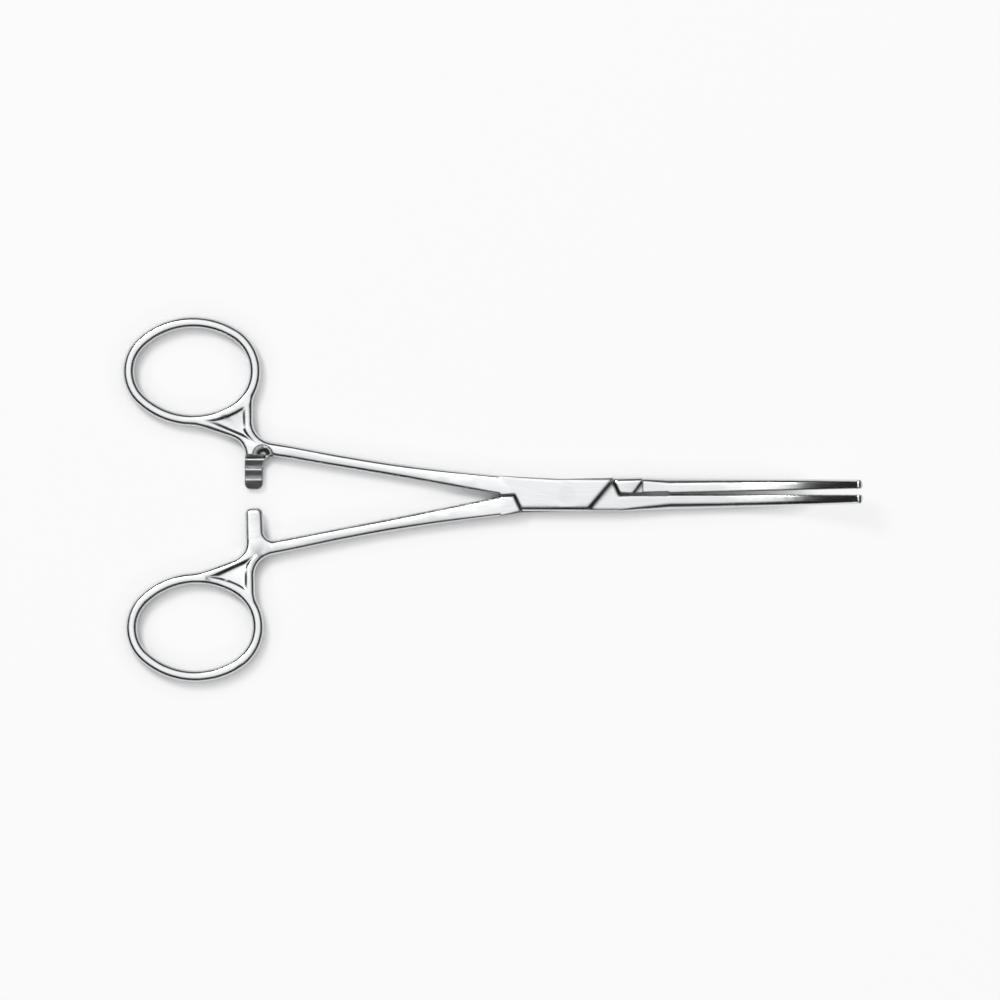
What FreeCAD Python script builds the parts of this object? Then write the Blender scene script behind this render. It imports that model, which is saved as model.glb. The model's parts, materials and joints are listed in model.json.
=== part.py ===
import FreeCAD, Part
import math
import os
import Sketcher
from FreeCAD import Placement, Rotation, Vector

# A curved artery clamp with a box lock, seen closed in its own frame.
# X runs from the finger rings to the jaw tips, Y across the instrument and Z up.
# The origin is on the pivot axis, at the underside of the lock.
# The female half carries the slotted box and the pin, the male half the tongue.
# Both halves share one plan, mirrored across the XZ plane; the jaws curve up together.

SIZES = {
    # Finger ring: an egg of four tangent arcs
    "ring_reach": 81.2,
    "ring_offset": 26.8,
    "ring_hole_length": 25.0,
    "ring_front_radius": 8.3,
    "ring_rear_radius": 7.2,
    "ring_flank_radius": 15.6,
    "ring_wall": 2.45,
    "ring_round_share": 0.42,
    "handle_thickness": 3.8,
    "handle_edge_round": 1.0,
    # Three flats round an edge: a cut across it, then one on each of the two arrises left
    "edge_cut_share": 0.586,
    "arris_cut_share": 0.215,
    # Web and neck that join the ring to the ratchet arm and the shank
    "web_drop": 15.3,
    "web_length": 17.0,
    "web_sink": 9.55,
    "web_fillet": 12.0,
    "web_arm_fillet": 4.0,
    "web_rim": 1.6,
    "hollow_length": 8.8,
    "hollow_rise": 6.4,
    "hollow_heel": 1.4,
    "hollow_toe": 2.3,
    "hollow_depth": 0.45,
    "hollow_wall_angle": 55.0,
    "neck_back": 1.75,
    "neck_rise": 3.8,
    "neck_ring_fillet": 5.0,
    "neck_shank_fillet": 4.5,
    # Ratchet arm and its teeth
    "arm_ahead": 13.4,
    "arm_width": 3.9,
    "arm_end_offset": 1.23,
    "arm_corner_round": 1.3,
    "arm_shank_fillet": 2.2,
    "ratchet_step_offset": 8.7,
    "tooth_count": 3,
    "tooth_pitch": 2.2,
    "tooth_height": 0.95,
    "tooth_back": 0.25,
    "scoop_radius": 2.2,
    # Shank, from the hub behind to the lock
    "hub_ahead": 21.2,
    "shank_slope": 0.170,
    "shank_outer_slope": 0.183,
    "shank_bow": 0.60,
    "shank_hub_width": 3.0,
    "shank_lock_width": 4.11,
    "shank_waist_thickness": 3.4,
    "shank_waist_round": 1.0,
    "shank_neck_round": 0.8,
    "shank_lock_round": 0.7,
    "shank_hub_station": 0.72,
    "shank_waist_station": 0.42,
    "shank_neck_station": 0.17,
    "crotch_reach": 14.5,
    # Box lock
    "lock_half_length": 11.3,
    "lock_width": 7.0,
    "lock_thickness": 4.6,
    "lock_diagonal": 1.6,
    "lock_straight_reach": 2.0,
    "lock_edge_round": 1.1,
    "slot_height": 1.9,
    "max_opening": 60.0,
    "half_gap": 0.05,
    "tongue_clearance": 0.05,
    "wall_clearance": 0.35,
    "shoulder_clearance": 0.2,
    "mouth_clearance": 0.08,
    # Pivot pin, riveted flush in both plates
    "pin_radius": 1.5,
    "pin_head_radius": 1.9,
    "pin_head_height": 0.4,
    "pin_clearance": 0.05,
    # Jaws
    "grip_start": 22.1,
    "curve_start": 33.5,
    "curve_radius": 52.0,
    "tip_reach": 63.9,
    "jaw_root_height": 3.8,
    "jaw_root_round": 0.5,
    "jaw_grip_height": 3.36,
    "jaw_grip_width": 3.1,
    "jaw_grip_round": 1.5,
    "jaw_tip_height": 1.9,
    "jaw_tip_width": 1.9,
    "jaw_tip_round": 0.85,
    "ridge_count": 4,
    "ridge_depth": 0.3,
    "grip_gap": 0.03,
    "tip_corner_round": 1.2,
    "tip_nose_round": 0.85,
    "male_block_reach": 16.4,
    # Relief ground into both lock faces ahead of a slanting line
    "relief_angle": 49.0,
    "female_relief_reach": 6.6,
    "male_relief_reach": 13.6,
    "relief_scoop_radius": 3.0,
    # Opening of the jaws at rest, in degrees from closed
    "rest_opening": 1.3,
}

document = FreeCAD.newDocument("artery_clamp")
sheet = document.addObject("Spreadsheet::Sheet", "Sizes")
for row, (alias, size) in enumerate(SIZES.items(), start=1):
    sheet.set(f"A{row}", alias)
    sheet.set(f"B{row}", str(size))
    sheet.setAlias(f"B{row}", alias)
document.recompute()


def value(expression):
    """A size, or a formula of sizes, as a plain number."""
    result = sheet.evalExpression(str(expression))
    return float(getattr(result, "Value", result))


def new_body(name):
    body = document.addObject("PartDesign::Body", name)
    body.Label = name
    return body


def new_sketch(body, name, role, position=("0", "0", "0"), axis=(0, 0, 1), angle="0"):
    """A sketch on one of the body's origin planes, moved by bound offsets and turned."""
    sketch = body.newObject("Sketcher::SketchObject", name)
    plane = next(item for item in body.Origin.OriginFeatures if item.Role == role)
    sketch.AttachmentSupport = (plane, "")
    sketch.MapMode = "FlatFace"
    turn = Rotation(Vector(*axis), value(angle))
    sketch.AttachmentOffset = Placement(Vector(*(value(part) for part in position)), turn)
    for letter, part in zip("xyz", position):
        sketch.setExpression(f"AttachmentOffset.Base.{letter}", part)
    if angle != "0":
        sketch.setExpression("AttachmentOffset.Rotation.Angle", f"({angle}) * 1deg")
    return sketch


def fix_point(sketch, curve, end, point):
    """Ties one point of a curve to the sheet, by its distances from the sketch origin."""
    for kind, formula in zip(("DistanceX", "DistanceY"), point):
        constraint = Sketcher.Constraint(kind, -1, 1, curve, end, value(formula))
        number = sketch.addConstraint(constraint)
        sketch.setExpression(f"Constraints[{number}]", formula)


def fix_radius(sketch, curve, formula):
    number = sketch.addConstraint(Sketcher.Constraint("Radius", curve, value(formula)))
    sketch.setExpression(f"Constraints[{number}]", formula)


def short_arc(start, end, radius, bulge):
    """The shorter arc between two points; bulge is +1 to the left of the way, -1 to the right."""
    chord = end - start
    left = Vector(-chord.y, chord.x, 0).normalize()
    centre = (start + end) * 0.5 - left * (bulge * math.sqrt(radius ** 2 - (chord.Length / 2) ** 2))
    first, last = (start, end) if bulge < 0 else (end, start)
    angles = [math.atan2(spot.y - centre.y, spot.x - centre.x) for spot in (first, last)]
    if angles[1] < angles[0]:
        angles[1] += 2 * math.pi
    return Part.ArcOfCircle(Part.Circle(centre, Vector(0, 0, 1), radius), *angles)


def closed_outline(sketch, points, arcs=None):
    """A closed outline through the points; arcs maps an edge number to (radius, bulge)."""
    arcs = arcs or {}
    spots = [Vector(value(across), value(along), 0) for across, along in points]
    curves = []
    for number, start in enumerate(spots):
        end = spots[(number + 1) % len(spots)]
        if number in arcs:
            radius, bulge = arcs[number]
            curve = sketch.addGeometry(short_arc(start, end, value(radius), bulge))
            ends = (1, 2) if bulge < 0 else (2, 1)
        else:
            curve = sketch.addGeometry(Part.LineSegment(start, end))
            ends = (1, 2)
        curves.append((curve, *ends))
    for number, (curve, first, last) in enumerate(curves):
        following, entry, _ = curves[(number + 1) % len(curves)]
        sketch.addConstraint(Sketcher.Constraint("Coincident", curve, last, following, entry))
        fix_point(sketch, curve, first, points[number])
        if number in arcs:
            fix_radius(sketch, curve, arcs[number][0])


def finish(body, feature):
    body.Tip = feature
    document.recompute()
    if not feature.isValid() or feature.Shape.isNull():
        raise RuntimeError(f"{feature.Label} failed")
    return feature


def pad(body, name, sketch, length):
    """Material to both sides of the sketch's plane."""
    feature = body.newObject("PartDesign::Pad", name)
    feature.Profile = sketch
    feature.SideType = "Symmetric"
    feature.setExpression("Length", length)
    return finish(body, feature)


def pocket(body, name, sketch, length, wall_angle=None):
    """A cut to both sides of the sketch's plane; its walls may lean inward from there."""
    feature = body.newObject("PartDesign::Pocket", name)
    feature.Profile = sketch
    feature.SideType = "Symmetric"
    feature.setExpression("Length", length)
    if wall_angle:
        feature.setExpression("TaperAngle", f"-1 * {wall_angle}")
        feature.setExpression("TaperAngle2", f"-1 * {wall_angle}")
    return finish(body, feature)


def revolve(body, kind, name, sketch):
    feature = body.newObject(f"PartDesign::{kind}", name)
    feature.Profile = sketch
    feature.ReferenceAxis = (sketch, ["V_Axis"])
    feature.Angle = 360
    return finish(body, feature)


def hollow(body, name, place, up, radius, depth):
    """A round hollow sunk into a level face; up is +1 for a face that looks up, -1 for down."""
    x, y, z = place
    sketch = new_sketch(body, f"{name}_profile", "XZ_Plane", (x, z, f"-1 * ({y})"))
    ball = f"(({radius}) ^ 2 + ({depth}) ^ 2) / (2 * ({depth}))"
    closed_outline(sketch, [
        ("0", f"-{up} * ({depth})"),
        (radius, "0"),
        (radius, f"{up} * ({depth})"),
        ("0", f"{up} * ({depth})"),
    ], {0: (ball, -up)})
    return revolve(body, "Groove", name, sketch)


def fillet(body, name, base, edges, radius):
    feature = body.newObject("PartDesign::Fillet", name)
    feature.Base = (base, edges)
    feature.setExpression("Radius", radius)
    return finish(body, feature)


def chamfer(body, name, base, edges, size):
    feature = body.newObject("PartDesign::Chamfer", name)
    feature.Base = (base, edges)
    feature.setExpression("Size", size)
    return finish(body, feature)


def edge_names(shape, test):
    return [f"Edge{number}" for number, edge in enumerate(shape.Edges, start=1) if test(edge)]


def upright_edge(shape, x, y):
    """The upright straight edge nearest to a place in the plan."""
    def gap(number):
        edge = shape.Edges[number]
        ends = [vertex.Point for vertex in edge.Vertexes]
        if len(ends) < 2 or math.hypot(ends[0].x - ends[1].x, ends[0].y - ends[1].y) > 1e-6:
            return math.inf
        return math.hypot(ends[0].x - x, ends[0].y - y)
    return f"Edge{min(range(len(shape.Edges)), key=gap) + 1}"


MIDDLE = "Sizes.lock_thickness / 2"
ARM_LEFT = "-Sizes.ring_reach + Sizes.arm_ahead - Sizes.arm_width / 2"
ARM_RIGHT = "-Sizes.ring_reach + Sizes.arm_ahead + Sizes.arm_width / 2"
NECK = "-Sizes.ring_reach + Sizes.ring_hole_length / 2 + Sizes.ring_wall - Sizes.neck_back"
HUB_END = "-Sizes.ring_reach + Sizes.hub_ahead"
WEB_CORNER = "Sizes.ring_offset - Sizes.web_drop"
WEB_SLOPE = "((Sizes.web_drop - Sizes.web_sink) / Sizes.web_length)"
HANDLE_ROUND = "min(Sizes.handle_edge_round, Sizes.ring_wall * Sizes.ring_round_share)"
SLOT_MOUTH = "(Sizes.lock_width / 2 * tan(Sizes.max_opening * 0.5deg) + Sizes.mouth_clearance)"
# About how far along the web, and past the neck's start, their edges meet the ring
WEB_JOINT_SHARE = 0.88
NECK_JOINT_SHARE = 1.5


def inner_edge(x):
    """Half plan of the shank: its straight inner edge, from the crotch outward."""
    return f"(Sizes.half_gap - Sizes.shank_slope * (Sizes.crotch_reach + ({x})))"


def hub_outer_edge(x):
    """Outer edge of the shank behind the hub's end."""
    return (f"({inner_edge(HUB_END)} + Sizes.shank_hub_width"
            f" + Sizes.shank_outer_slope * ({HUB_END} - ({x})))")


def sided(side, points):
    """The plan's points, mirrored for the male half."""
    return [(x, f"{side} * ({y})") for x, y in points]


def egg(sketch, side, growth):
    """Four tangent arcs: a blunt front end, a smaller rear end and two long flanks."""
    front = f"Sizes.ring_front_radius + {growth}"
    rear = f"Sizes.ring_rear_radius + {growth}"
    flank = f"Sizes.ring_flank_radius + {growth}"
    front_x = "-Sizes.ring_reach + Sizes.ring_hole_length / 2 - Sizes.ring_front_radius"
    rear_x = "-Sizes.ring_reach - Sizes.ring_hole_length / 2 + Sizes.ring_rear_radius"
    across = f"{side} * Sizes.ring_offset"
    a, b, centre_y = value(front_x), value(rear_x), value(across)
    to_front = value(flank) - value(front)
    to_rear = value(flank) - value(rear)
    flank_x = (to_rear ** 2 - to_front ** 2 + a ** 2 - b ** 2) / (2 * (a - b))
    drop = math.sqrt(to_front ** 2 - (flank_x - a) ** 2)
    first = math.atan2(drop, a - flank_x)
    second = math.atan2(drop, b - flank_x)
    arcs = [
        (a, 0, front, -first, first),
        (flank_x, -drop, flank, first, second),
        (b, 0, rear, second, 2 * math.pi - second),
        (flank_x, drop, flank, 2 * math.pi - second, 2 * math.pi - first),
    ]
    curves = []
    for x, rise, radius, start, end in arcs:
        circle = Part.Circle(Vector(x, centre_y + rise, 0), Vector(0, 0, 1), value(radius))
        curves.append(sketch.addGeometry(Part.ArcOfCircle(circle, start, end)))
    for number, curve in enumerate(curves):
        following = curves[(number + 1) % len(curves)]
        sketch.addConstraint(Sketcher.Constraint("Tangent", curve, 2, following, 1))
        fix_radius(sketch, curve, arcs[number][2])
    fix_point(sketch, curves[0], 3, (front_x, across))
    fix_point(sketch, curves[2], 3, (rear_x, across))


def build_hub(body, side):
    """Finger ring, web, neck, ratchet arm and the start of the shank, with rounded edges."""
    level = ("0", "0", MIDDLE)
    thickness = "Sizes.handle_thickness"

    sketch = new_sketch(body, "ring_outline", "XY_Plane", level)
    egg(sketch, side, "Sizes.ring_wall")
    pad(body, "ring", sketch, thickness)

    sketch = new_sketch(body, "web_outline", "XY_Plane", level)
    joint = f"{inner_edge(ARM_RIGHT)} + Sizes.shank_hub_width / 2"
    closed_outline(sketch, sided(side, [
        (f"{ARM_LEFT} - Sizes.web_length", "Sizes.ring_offset - Sizes.web_sink"),
        (ARM_LEFT, WEB_CORNER),
        (ARM_LEFT, "Sizes.arm_end_offset"),
        (ARM_RIGHT, "Sizes.arm_end_offset"),
        (ARM_RIGHT, joint),
        (NECK, joint),
        (NECK, "Sizes.ring_offset - Sizes.neck_rise"),
    ]))
    pad(body, "web_and_arm", sketch, thickness)

    sketch = new_sketch(body, "shank_root_outline", "XY_Plane", level)
    start = f"{ARM_LEFT} + Sizes.arm_width / 4"
    closed_outline(sketch, sided(side, [
        (start, inner_edge(start)),
        (HUB_END, inner_edge(HUB_END)),
        (HUB_END, hub_outer_edge(HUB_END)),
        (start, hub_outer_edge(start)),
    ]))
    pad(body, "shank_root", sketch, thickness)

    sketch = new_sketch(body, "finger_hole_outline", "XY_Plane", level)
    egg(sketch, side, "0")
    hub = pocket(body, "finger_hole", sketch, f"{thickness} * 2")

    corners = [
        ("web_ring_fillet", f"{ARM_LEFT} - Sizes.web_length * {WEB_JOINT_SHARE}",
         "Sizes.ring_offset - Sizes.ring_front_radius - Sizes.ring_wall", "Sizes.web_fillet"),
        ("web_arm_fillet", ARM_LEFT, WEB_CORNER, "Sizes.web_arm_fillet"),
        ("arm_left_round", ARM_LEFT, "Sizes.arm_end_offset", "Sizes.arm_corner_round"),
        ("arm_right_round", ARM_RIGHT, "Sizes.arm_end_offset", "Sizes.arm_corner_round"),
        ("arm_shank_fillet", ARM_RIGHT, inner_edge(ARM_RIGHT), "Sizes.arm_shank_fillet"),
        ("neck_shank_fillet", NECK, hub_outer_edge(NECK), "Sizes.neck_shank_fillet"),
        ("neck_ring_fillet", NECK, f"Sizes.ring_offset - Sizes.neck_rise * {NECK_JOINT_SHARE}",
         "Sizes.neck_ring_fillet"),
    ]
    for name, x, y, radius in corners:
        edge = upright_edge(hub.Shape, value(x), side * value(y))
        hub = fillet(body, name, hub, [edge], radius)

    def level_edges(shape, drop):
        """Edges along the outline at a depth below either face."""
        height = value(f"{thickness} / 2 - {drop}")

        def chosen(edge):
            spots = [vertex.Point for vertex in edge.Vertexes]
            level = all(abs(abs(spot.z - value(MIDDLE)) - height) < 1e-6 for spot in spots)
            upright = abs(spots[0].z - spots[-1].z) > 1e-6
            at_end = all(abs(spot.x - value(HUB_END)) < 1e-6 for spot in spots)
            return level and not upright and not at_end
        return edge_names(shape, chosen)

    cut = f"{HANDLE_ROUND} * Sizes.edge_cut_share"
    hub = chamfer(body, "handle_edges", hub, level_edges(hub.Shape, "0"), cut)
    arrises = level_edges(hub.Shape, "0") + level_edges(hub.Shape, cut)
    hub = chamfer(body, "handle_arrises", hub, arrises, f"{HANDLE_ROUND} * Sizes.arris_cut_share")
    return hollow_web(body, side)


def hollow_web(body, side):
    """A shallow hollow in each face of the web, inside a rim that follows ring, neck and arm."""
    right = f"({NECK} - Sizes.web_rim)"
    corner = (f"({WEB_CORNER} + Sizes.web_rim * sqrt(1 + {WEB_SLOPE} ^ 2)"
              f" + ({ARM_LEFT} - {right}) * {WEB_SLOPE})")
    points = sided(side, [
        (right, f"{corner} + Sizes.hollow_rise"),
        (f"{right} - Sizes.hollow_length", f"{corner} + Sizes.hollow_length * {WEB_SLOPE}"),
        (f"{right} + Sizes.hollow_toe", f"{corner} + Sizes.hollow_heel - Sizes.hollow_toe * sqrt(2)"),
        (right, f"{corner} + Sizes.hollow_heel"),
    ])
    arcs = {
        0: ("Sizes.ring_flank_radius + Sizes.ring_wall", side),
        2: ("Sizes.neck_shank_fillet + Sizes.web_rim", side),
    }
    for name, up in (("upper_hollow", 1), ("lower_hollow", -1)):
        level = f"{MIDDLE} + {up} * Sizes.handle_thickness / 2"
        sketch = new_sketch(body, f"{name}_outline", "XY_Plane", ("0", "0", level))
        closed_outline(sketch, points, arcs)
        cut = pocket(body, name, sketch, "Sizes.hollow_depth * 2", "Sizes.hollow_wall_angle")
    return cut


def build_ratchet(body, side):
    """The arm loses half its thickness, then gets saw teeth with their steep faces to the shank."""
    crest = f"{MIDDLE} + {side} * Sizes.tooth_height / 2"
    valley = f"{MIDDLE} - {side} * Sizes.tooth_height / 2"
    step = "Sizes.ratchet_step_offset"
    beyond = "Sizes.arm_end_offset - Sizes.tooth_pitch"
    level = f"{crest} + {side} * Sizes.handle_thickness / 2"

    sketch = new_sketch(body, "ratchet_recess_outline", "XY_Plane", ("0", "0", level))
    scoop_end = f"{ARM_RIGHT} + Sizes.arm_shank_fillet"
    closed_outline(sketch, sided(side, [
        (f"{ARM_LEFT} - Sizes.arm_width", step),
        (f"{ARM_LEFT} - Sizes.arm_width", beyond),
        (scoop_end, beyond),
        (scoop_end, step),
    ]))
    pocket(body, "ratchet_recess", sketch, "Sizes.handle_thickness")
    face = f"{MIDDLE} + {side} * Sizes.handle_thickness / 2"
    place = (f"{scoop_end} - Sizes.scoop_radius", f"{side} * {step}", face)
    hollow(body, "ratchet_scoop", place, side, "Sizes.scoop_radius",
           "(Sizes.handle_thickness - Sizes.tooth_height) / 2")

    first = "(Sizes.arm_end_offset + Sizes.tooth_count * Sizes.tooth_pitch)"
    centre = f"{ARM_LEFT} + Sizes.arm_width / 2"
    width = "Sizes.arm_width + Sizes.arm_shank_fillet / 2"
    notches = [
        ("tooth_root", step, first),
        ("tooth_gap", f"{first} - Sizes.tooth_back", f"{first} - Sizes.tooth_pitch"),
    ]
    for name, ramp_start, steep_face in notches:
        sketch = new_sketch(body, f"{name}_outline", "YZ_Plane", ("0", "0", centre))
        closed_outline(sketch, [
            (f"{side} * ({ramp_start})", crest),
            (f"{side} * ({steep_face})", valley),
            (f"{side} * ({steep_face})", crest),
        ])
        notch = pocket(body, name, sketch, width)
    pattern = body.newObject("PartDesign::LinearPattern", "teeth")
    pattern.Originals = [notch]
    pattern.Direction = (sketch, ["H_Axis"])
    pattern.Reversed = side > 0
    pattern.Mode = "Spacing"
    pattern.setExpression("Offset", "Sizes.tooth_pitch")
    pattern.setExpression("Occurrences", "Sizes.tooth_count")
    return finish(body, pattern)


def rounded_section(body, side, name, x, inner, outer, height, radius):
    """A rectangle across the shank; three flats round each corner, as on the handle's edges."""
    sketch = new_sketch(body, name, "YZ_Plane", ("0", MIDDLE, x))
    far = f"{radius} * (Sizes.edge_cut_share + Sizes.arris_cut_share)"
    near = f"{radius} * Sizes.arris_cut_share * sqrt(0.5)"
    middle = f"{radius} * Sizes.edge_cut_share - {near}"
    cuts = [(far, "0"), (middle, near), (near, middle), ("0", far)]
    corners = [(outer, -1, -1), (outer, -1, 1), (inner, 1, 1), (inner, 1, -1)]
    spots = []
    for number, (edge, inward, up) in enumerate(corners):
        for across, drop in (cuts if number % 2 == 0 else reversed(cuts)):
            spots.append((f"{edge} + {inward} * ({across})", f"{up} * (({height}) / 2 - ({drop}))"))
    closed_outline(sketch, [(f"{side} * ({across})", up) for across, up in spots])
    return sketch


def shank_outer_edge(share):
    """Outer edge at a share of the way from the lock to the hub, hollowed by the bow."""
    lock = "(Sizes.half_gap + Sizes.shank_lock_width)"
    hub_side = f"({inner_edge(HUB_END)} + Sizes.shank_hub_width)"
    return (f"({lock} + ({hub_side} - {lock}) * {share}"
            f" - 4 * Sizes.shank_bow * {share} * (1 - {share}))")


def build_shank(body, side, hub):
    """The shank's loft, from the hub's cut face through a slimmer waist to the lock."""
    end = value(HUB_END)
    faces = [
        f"Face{number}" for number, face in enumerate(hub.Shape.Faces, start=1)
        if all(abs(vertex.Point.x - end) < 1e-6 for vertex in face.Vertexes)
    ]
    waist = "Sizes.shank_waist_thickness"
    stations = [
        ("Sizes.shank_hub_station", waist, "Sizes.shank_waist_round"),
        ("Sizes.shank_waist_station", waist, "Sizes.shank_waist_round"),
        ("Sizes.shank_neck_station", f"({waist} + Sizes.lock_thickness) / 2", "Sizes.shank_neck_round"),
        ("0", "Sizes.lock_thickness", "Sizes.shank_lock_round"),
    ]
    sections = []
    for number, (share, height, radius) in enumerate(stations, start=1):
        x = f"(-Sizes.crotch_reach * (1 - {share}) + ({HUB_END}) * {share})"
        edges = inner_edge(x), shank_outer_edge(share)
        sections.append(rounded_section(body, side, f"shank_section_{number}", x, *edges, height, radius))
    loft = body.newObject("PartDesign::AdditiveLoft", "shank")
    loft.Profile = (hub, faces)
    loft.Sections = sections
    return finish(body, loft)


def build_jaw(body, side):
    """A smooth root and a serrated, tapering, curved grip; own jaw lies across from own handle."""
    root = jaw_section(body, side, "jaw_root_section", ("0", MIDDLE, "Sizes.lock_half_length"), "0",
                       "Sizes.lock_width / 2", "Sizes.jaw_root_height", "Sizes.jaw_root_round", None)
    start = ("0", MIDDLE, "Sizes.grip_start")
    grip = ("Sizes.jaw_grip_width", "Sizes.jaw_grip_height", "Sizes.jaw_grip_round")
    smooth_end = jaw_section(body, side, "smooth_end_section", start, "0", *grip, None)
    loft = body.newObject("PartDesign::AdditiveLoft", "jaw_root")
    loft.Profile = root
    loft.Sections = [smooth_end]
    finish(body, loft)

    sweep = "asin((Sizes.tip_reach - Sizes.curve_start) / Sizes.curve_radius)"
    rise = f"Sizes.curve_radius * (1 - cos({sweep}))"
    spine = new_sketch(body, "jaw_centreline", "XZ_Plane", ("0", MIDDLE, "0"))
    bend_start = Vector(value("Sizes.curve_start"), 0, 0)
    straight = spine.addGeometry(Part.LineSegment(Vector(value("Sizes.grip_start"), 0, 0), bend_start))
    centre = Vector(bend_start.x, value("Sizes.curve_radius"), 0)
    circle = Part.Circle(centre, Vector(0, 0, 1), centre.y)
    turn = math.radians(value(sweep))
    bend = spine.addGeometry(Part.ArcOfCircle(circle, -math.pi / 2, turn - math.pi / 2))
    spine.addConstraint(Sketcher.Constraint("Tangent", straight, 2, bend, 1))
    spine.addConstraint(Sketcher.Constraint("Horizontal", straight))
    fix_point(spine, straight, 1, ("Sizes.grip_start", "0"))
    fix_radius(spine, bend, "Sizes.curve_radius")
    fix_point(spine, bend, 2, ("Sizes.tip_reach", rise))
    document.recompute()

    first = jaw_section(body, side, "grip_section", start, "0", *grip, "Sizes.ridge_depth")
    tip_depth = "Sizes.ridge_depth * Sizes.jaw_tip_height / Sizes.jaw_grip_height"
    tip = jaw_section(body, side, "tip_section", ("0", f"{MIDDLE} + {rise}", "Sizes.tip_reach"),
                      f"-1 * {sweep} / 1deg", "Sizes.jaw_tip_width", "Sizes.jaw_tip_height",
                      "Sizes.jaw_tip_round", tip_depth)
    pipe = body.newObject("PartDesign::AdditivePipe", "serrated_jaw")
    pipe.Profile = first
    pipe.Spine = (spine, ["Edge1", "Edge2"])
    pipe.Sections = [tip]
    pipe.Transformation = "Multisection"
    pipe.Mode = "Binormal"
    pipe.Binormal = Vector(0, 1, 0)
    finish(body, pipe)

    return round_tip(body, side, sweep, rise)


def round_tip(body, side, sweep, rise):
    """The jaw's end is rounded off, first seen from the side and then from above."""
    spare = "Sizes.ridge_depth / 2"
    nose = "Sizes.tip_nose_round"
    sketch = new_sketch(body, "tip_nose_outline", "XZ_Plane",
                        ("Sizes.tip_reach", f"{MIDDLE} + {rise}", "0"), (0, 0, 1), f"{sweep} / 1deg")
    for up in (1, -1):
        closed_outline(sketch, [
            (f"-{nose} - {spare}", f"{up} * (Sizes.jaw_tip_height / 2 + {spare})"),
            ("0", f"{up} * (Sizes.jaw_tip_height / 2 - {nose})"),
            (nose, f"{up} * (Sizes.jaw_tip_height / 2 - {nose})"),
            (nose, f"{up} * (Sizes.jaw_tip_height / 2 + {spare})"),
        ], {0: (f"{nose} + {spare}", up)})
    pocket(body, "tip_nose", sketch, "Sizes.lock_width * 2")

    end = (f"(Sizes.tip_reach + {nose} * (1 - cos({sweep}))"
           f" + (Sizes.jaw_tip_height / 2 - {nose}) * sin({sweep}))")
    outer = f"(Sizes.tip_corner_round + {spare})"
    inner = f"(Sizes.jaw_tip_width - Sizes.tip_corner_round + {spare})"
    sketch = new_sketch(body, "tip_corner_outline", "XY_Plane", ("0", "0", MIDDLE))
    closed_outline(sketch, sided(side, [
        (f"{end} - {outer}", f"-Sizes.jaw_tip_width - {spare}"),
        (end, "-Sizes.jaw_tip_width + Sizes.tip_corner_round"),
        (f"{end} - {inner}", spare),
        (f"{end} + {outer}", spare),
        (f"{end} + {outer}", f"-Sizes.jaw_tip_width - {spare}"),
    ]), {0: (outer, -side), 1: (inner, -side)})
    return pocket(body, "tip_corner", sketch, "Sizes.tip_reach")


def jaw_section(body, side, name, position, angle, width, height, radius, depth):
    """Half-round section; its grip side is flat, or a zigzag that meshes with the other jaw's."""
    sketch = new_sketch(body, name, "YZ_Plane", position, (1, 0, 0), angle)
    ridges = int(value("Sizes.ridge_count"))
    grip = []
    if depth is None:
        flat = "Sizes.grip_gap + Sizes.ridge_depth / 2"
        grip = [(flat, f"-{height} / 2"), (flat, f"{height} / 2")]
    else:
        for step in range(2 * ridges + 1):
            crest = (step % 2 == 1) == (side > 0)
            face = f"Sizes.grip_gap {'-' if crest else '+'} {depth} / 2"
            grip.append((face, f"{height} * ({step} / {2 * ridges} - 0.5)"))
    back = [
        (f"{width} - {radius}", f"{height} / 2"),
        (width, f"{height} / 2 - {radius}"),
        (width, f"-{height} / 2 + {radius}"),
        (f"{width} - {radius}", f"-{height} / 2"),
    ]
    points = [(f"{-side} * ({across})", up) for across, up in grip + back]
    count = len(grip)
    closed_outline(sketch, points, {count: (radius, -side), count + 2: (radius, -side)})
    return sketch


def round_lock_edges(body, side, lock):
    """The lock's long edges on its own jaw's side are rounded."""
    jaw_side = value(LOCK_SIDE) * -side
    faces = (0, value("Sizes.lock_thickness"))

    def chosen(edge):
        spots = [vertex.Point for vertex in edge.Vertexes]
        on_side = all(abs(spot.y - jaw_side) < 1e-6 for spot in spots)
        on_a_face = any(all(abs(spot.z - level) < 1e-6 for spot in spots) for level in faces)
        return on_side and on_a_face
    return fillet(body, "lock_edges", lock, edge_names(lock.Shape, chosen), "Sizes.lock_edge_round")


def cut_relief(body, name, reach):
    """Both lock faces drop to the jaw's level ahead of a slanting line, over a hollow scoop."""
    depth = "((Sizes.lock_thickness - Sizes.jaw_root_height) / 2)"
    scoop = f"sqrt({depth} * (2 * Sizes.relief_scoop_radius - {depth}))"
    length = "(Sizes.lock_width + Sizes.relief_scoop_radius)"
    sketch = new_sketch(body, f"{name}_outline", "XZ_Plane", (reach, MIDDLE, "0"),
                        (0, 1, 0), "Sizes.relief_angle - 90")
    for up in (1, -1):
        face = f"{up} * Sizes.lock_thickness / 2"
        level = f"{up} * Sizes.jaw_root_height / 2"
        above = f"{up} * Sizes.lock_thickness"
        closed_outline(sketch, [
            ("0", face),
            (scoop, level),
            (length, level),
            (length, above),
            ("0", above),
        ], {0: ("Sizes.relief_scoop_radius", -up)})
    return pocket(body, name, sketch, "Sizes.lock_width * 2")


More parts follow.
